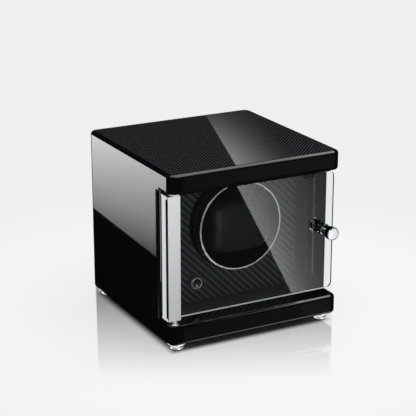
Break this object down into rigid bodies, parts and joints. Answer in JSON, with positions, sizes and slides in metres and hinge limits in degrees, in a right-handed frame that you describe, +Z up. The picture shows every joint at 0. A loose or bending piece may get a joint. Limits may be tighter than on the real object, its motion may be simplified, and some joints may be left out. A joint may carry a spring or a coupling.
{
  "type": "watch winder box",
  "caption": "Black lacquered watch winder with carbon-weave top and fascia, a clear side-hinged door, a turning drum with a pull-out pillow, a selector knob and chrome feet.",
  "frame": {"origin": "middle of the footprint, on the surface that the foot pads stand on", "axes": "+X to the object's right as seen from the front, +Y to the back (the front faces -Y), +Z up"},
  "size_m": [0.17, 0.1794, 0.1625],
  "materials": {
    "lacquer": "high-gloss black lacquer on board",
    "carbon_weave": "carbon-fibre twill under clear gloss",
    "board_core": "raw fibreboard",
    "back_black": "matt black sheet",
    "chrome": "polished chrome",
    "brushed_aluminium": "brushed along its length",
    "clear_pane": "clear polished acrylic",
    "steel": "bright steel",
    "drum_black": "gloss black moulded plastic",
    "moulded_black": "matt black moulded plastic",
    "gear_white": "natural acetal",
    "brass": "turned brass",
    "leatherette": "black grained leatherette",
    "pad_rubber": "soft black rubber",
    "board_green": "green solder mask",
    "lead_black": "black insulated lead",
    "magnet": "dark ferrite"
  },
  "bodies": {
    "cabinet": {"top_panel": "lacquer", "carbon_top_sheet": "carbon_weave", "base_panel": "lacquer", "left_side_panel": "lacquer", "right_side_panel": "lacquer", "back_panel": "back_black", "back_panel_screws": "steel", "foot_front_left": "chrome", "foot_front_right": "chrome", "foot_rear_left": "chrome", "foot_rear_right": "chrome", "foot_pads": "pad_rubber", "carbon_fascia": "carbon_weave", "fascia_cleats": "board_core", "drive_plate": "steel", "plate_posts": "steel", "shaft_bush": "brass", "motor_can": "steel", "motor_gearbox": "steel", "motor_screws": "steel", "selector_switch": "moulded_black", "selector_nut": "steel", "circuit_board": "board_green", "board_components": "moulded_black", "power_jack": "moulded_black", "jack_nut": "steel", "power_lead": "lead_black", "motor_lead": "lead_black", "lower_pivot_bush": "chrome", "upper_pivot_bush": "chrome", "catch_housing": "moulded_black", "catch_magnet": "magnet"},
    "door": {"door_pane": "clear_pane", "hinge_cover_strip": "brushed_aluminium", "hinge_stile": "brushed_aluminium", "lower_pivot_plate": "brushed_aluminium", "upper_pivot_plate": "brushed_aluminium", "lower_pivot_pin": "steel", "upper_pivot_pin": "steel", "door_knob": "chrome", "knob_screw": "steel", "strike_plate": "steel"},
    "rotor": {"rotor_drum": "drum_black", "rotor_ring": "chrome", "rotor_shaft": "steel", "drive_gear": "gear_white", "retaining_clip": "steel", "pillow_socket": "moulded_black"},
    "pillow": {"pillow_cushion": "leatherette", "pillow_core": "moulded_black"},
    "pinion": {"motor_pinion": "brass", "motor_spindle": "steel"},
    "selector": {"selector_knob": "drum_black", "selector_spindle": "steel"}
  },
  "joints": [
    {"name": "door_hinge", "type": "hinge", "parent": "cabinet", "child": "door", "pos_m": [-0.0773, -0.07175, 0.085], "axis": [0, 0, -1], "range_deg": [0, 110]},
    {"name": "rotor_spin", "type": "hinge", "parent": "cabinet", "child": "rotor", "pos_m": [0, 0, 0.0968], "axis": [0, 1, 0], "continuous": true},
    {"name": "pinion_spin", "type": "hinge", "parent": "cabinet", "child": "pinion", "pos_m": [0, 0, 0.05255], "axis": [0, 1, 0], "continuous": true},
    {"name": "pillow_pull", "type": "slide", "parent": "rotor", "child": "pillow", "axis": [0, -1, 0], "range_m": [0, 0.01]},
    {"name": "selector_turn", "type": "hinge", "parent": "cabinet", "child": "selector", "pos_m": [-0.04, -0.03425, 0.046], "axis": [0, 1, 0], "range_deg": [-135, 135]}
  ],
  "couplings": [
    {"joint": "pinion_spin", "follows": "rotor_spin", "ratio": -2.4706}
  ]
}
